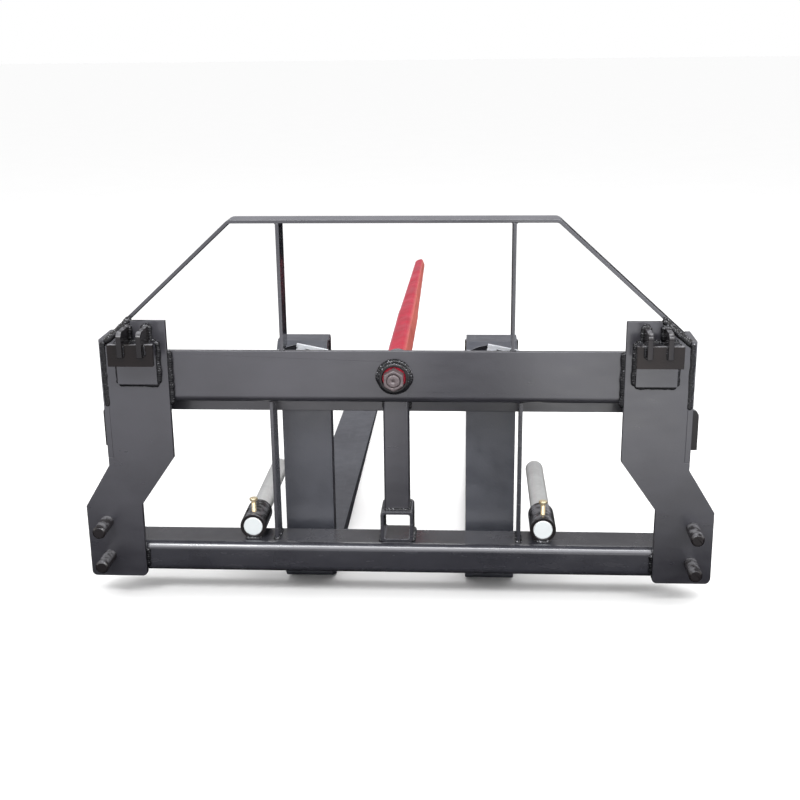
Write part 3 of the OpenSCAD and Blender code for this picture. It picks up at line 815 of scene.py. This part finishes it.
def dress_frame(materials):
    for node, kind, width in (
        ("upper_beam", "plate", 1.2), ("upper_fork_rail", "plate", 1.0), ("lower_tube", "bar", 0.5),
        ("lower_fork_rail", "bar", 1.0), ("guard_bar", "bar", 1.0), ("centre_post", "plate", 0.4),
        ("receiver_tube", "bar", 0.8), ("spear_bushing", "small", 0.8), ("spear_washer", "spear", 0.4),
    ):
        dress(node, materials[kind], width)
    for side in SIDES:
        for part, kind, width in (
            ("mount_plate", "plate", 0.8), ("side_plate", "plate", 1.0), ("side_lug", "small", 1.0),
            ("hook_pad", "plate", 1.0), ("hook_lip", "lip", 0.9), ("inner_hook_ear", "small", 1.0),
            ("outer_hook_ear", "small", 1.0), ("upper_mount_pin", "small", 0.6),
            ("lower_mount_pin", "small", 0.6), ("guard_upright", "bar", 1.0), ("brace_bar", "bar", 1.0),
            ("stabilizer_collar", "small", 1.0), ("stabilizer_rod", f"{side}_stabilizer_rod", 0.6),
            ("fork", "fork", 3.0), ("fork_top_hook", "fork", 1.4), ("fork_bottom_hook", "fork", 1.8),
            ("latch_plunger", "latch", 0.5), ("latch_cross_pin", "latch", 0.4),
            ("latch_lever", "lever", 0.8),
        ):
            dress(f"{side}_{part}", materials[kind], width)


# ---- Stage ----

# Colour of the surroundings in reflections, by degrees up and over from the camera's side
STUDIO_BANDS = [
    (0, (0.2, 0.2, 0.21)), (10, (0.26, 0.26, 0.27)), (21, (0.95, 0.95, 0.98)),
    (54, (0.9, 0.91, 0.98)), (64, (0.05, 0.055, 0.075)), (100, (0.05, 0.055, 0.07)),
    (132, (0.15, 0.15, 0.15)), (150, (0.14, 0.135, 0.13)), (159, (0.04, 0.04, 0.042)),
    (167, (0.14, 0.14, 0.15)), (180, (0.1, 0.1, 0.11)),
]

# Their colour to either side
STUDIO_SIDES = (0.34, 0.33, 0.32, 1)

# How many times brighter than the colours above the surroundings are in reflections
STUDIO_STRENGTH = 4.0

# Colour of the floor in reflections, from 1 m left of the middle to 1 m right of it
STUDIO_FLOOR = [
    (0.0, (0.5, 0.5, 0.53)), (0.25, (0.64, 0.63, 0.66)), (0.46, (0.86, 0.85, 0.88)),
    (0.52, 0.0), (0.61, 0.0), (0.69, (1.0, 1.0, 1.0)), (0.86, (1.0, 1.0, 1.0)),
    (0.95, (0.74, 0.75, 0.82)),
]


def make_floor():
    """A pale floor. In reflections it is dark by the object and lighter towards the camera's side."""
    s = Shader("floor", roughness=0.8)
    pale = s.mix(s.noise(3, 4), (0.955, 0.955, 0.955), (0.975, 0.975, 0.975))
    path = s.tree.nodes.new("ShaderNodeLightPath")
    base = s.mix(path.outputs["Is Diffuse Ray"], pale, (0.4, 0.4, 0.4))
    base = s.mix(path.outputs["Is Glossy Ray"], base, (0, 0, 0))
    away = s.between(s.position("Y"), REAR - 0.15, REAR - 1.3, 0, 2.3)
    across = s.ramp(s.between(s.position("X"), -1, 1, 0, 1), *STUDIO_FLOOR)
    glow = s.math("MULTIPLY", path.outputs["Is Glossy Ray"], away)
    s.set(Base_Color=base, Specular_IOR_Level=0.0, Emission_Color=across, Emission_Strength=glow)
    s.material.cycles.emission_sampling = "NONE"
    size = 60
    mesh = bpy.data.meshes.new("floor")
    corners = [(-size, -size, 0), (size, -size, 0), (size, size, 0), (-size, size, 0)]
    mesh.from_pydata(corners, [], [(0, 1, 2, 3)])
    mesh.materials.append(s.material)
    floor = bpy.data.objects.new("floor", mesh)
    bpy.context.scene.collection.objects.link(floor)


def make_world():
    """Even white light. In reflections it is a bright band above the camera's side, dark round it
    and grey to either side."""
    world = bpy.data.worlds.new("studio")
    world.use_nodes = True
    bpy.context.scene.world = world
    tree = world.node_tree
    background = tree.nodes["Background"]
    split = tree.nodes.new("ShaderNodeSeparateXYZ")
    tree.links.new(tree.nodes.new("ShaderNodeTexCoord").outputs["Generated"], split.inputs["Vector"])

    def math_node(operation, a, b):
        node = tree.nodes.new("ShaderNodeMath")
        node.operation = operation
        for value, target in ((a, node.inputs[0]), (b, node.inputs[1])):
            if isinstance(value, float):
                target.default_value = value
            else:
                tree.links.new(value, target)
        return node.outputs["Value"]

    behind = math_node("MULTIPLY", split.outputs["Y"], -1.0)
    turn = math_node("ARCTAN2", split.outputs["Z"], behind)
    height = math_node("DIVIDE", turn, math.pi)
    ramp = tree.nodes.new("ShaderNodeValToRGB")
    elements = ramp.color_ramp.elements
    for position, color in STUDIO_BANDS[2:]:
        elements.new(position / 180)
    for element, (position, color) in zip(elements, STUDIO_BANDS):
        element.position = position / 180
        element.color = (*color, 1)
    tree.links.new(height, ramp.inputs["Fac"])
    sides = tree.nodes.new("ShaderNodeMapRange")
    for name, number in zip(RANGE_INPUTS, (0.5, 0.8, 0.0, 1.0)):
        sides.inputs[name].default_value = number
    tree.links.new(math_node("ABSOLUTE", split.outputs["X"], 0.0), sides.inputs["Value"])

    def mixed(factor, a, b):
        node = tree.nodes.new("ShaderNodeMix")
        node.data_type = "RGBA"
        tree.links.new(factor, node.inputs["Factor"])
        for value, target in ((a, node.inputs["A"]), (b, node.inputs["B"])):
            if isinstance(value, tuple):
                target.default_value = value
            else:
                tree.links.new(value, target)
        return node.outputs["Result"]

    path = tree.nodes.new("ShaderNodeLightPath")
    reflected = mixed(sides.outputs["Result"], ramp.outputs["Color"], STUDIO_SIDES)
    colour = mixed(path.outputs["Is Glossy Ray"], (1.0, 1.0, 1.0, 1), reflected)
    tree.links.new(colour, background.inputs["Color"])
    strength = math_node("MULTIPLY", path.outputs["Is Glossy Ray"], STUDIO_STRENGTH - 1)
    tree.links.new(math_node("ADD", strength, 1.0), background.inputs["Strength"])


def soft_light(name, position, target, size, power):
    data = bpy.data.lights.new(name, "AREA")
    data.shape = "RECTANGLE"
    data.size, data.size_y = size
    data.energy = power
    light = bpy.data.objects.new(name, data)
    light.location = position
    light.rotation_euler = (Vector(target) - Vector(position)).to_track_quat("-Z", "Y").to_euler()
    bpy.context.scene.collection.objects.link(light)


def make_lights():
    aim = (0, REAR, 0.35)
    soft_light("key", (0.2, REAR - 2.1, 2.7), aim, (4.6, 0.6), 75)
    soft_light("fill", (2.2, REAR - 1.6, 1.4), aim, (1.2, 1.2), 18)
    soft_light("glint", (-0.9, REAR - 1.9, 1.9), aim, (0.3, 0.3), 9)
    soft_light("top", (0.3, REAR + 0.9, 3.2), (0, REAR + 0.2, 0.3), (2.6, 1.4), 40)


def make_camera():
    """Stands behind the attachment, above it and a little to the right."""
    data = bpy.data.cameras.new("camera")
    data.sensor_width = 36
    data.lens = 53.447
    data.clip_end = 200
    camera = bpy.data.objects.new("camera", data)
    yaw, pitch, roll = -0.0607, -0.2957, -0.0114
    ahead = Vector((math.sin(yaw) * math.cos(pitch), math.cos(yaw) * math.cos(pitch), math.sin(pitch)))
    right = Vector((math.cos(yaw), -math.sin(yaw), 0))
    up = right.cross(ahead)
    tilted_right = math.cos(roll) * right + math.sin(roll) * up
    tilted_up = -math.sin(roll) * right + math.cos(roll) * up
    turn = Matrix((tilted_right, tilted_up, -ahead)).transposed()
    camera.matrix_world = Matrix.Translation((0.1395, REAR - 2.1287, 1.0654)) @ turn.to_4x4()
    bpy.context.scene.collection.objects.link(camera)
    bpy.context.scene.camera = camera


def main():
    make_camera()
    make_world()
    make_lights()
    make_floor()
    bpy.context.scene.view_settings.view_transform = "Standard"
    materials = make_materials()
    dress_frame(materials)
    for side, s in SIDES.items():
        plate_welds(side, s, materials["weld"])
        hook_welds(side, s, materials["weld"])
        bar_welds(side, s, materials["weld"])
        collar_welds(side, s, materials["weld"])
        fork_welds(side, materials["weld"])
        make_bolt(side, materials["bolt"])
        make_spring(side, materials["spring"])
    centre_welds(materials["weld"])
    stitch_welds(materials["weld"])
    make_spear(materials["spear"], materials["nut"])
    make_nut(materials["nut"])


main()
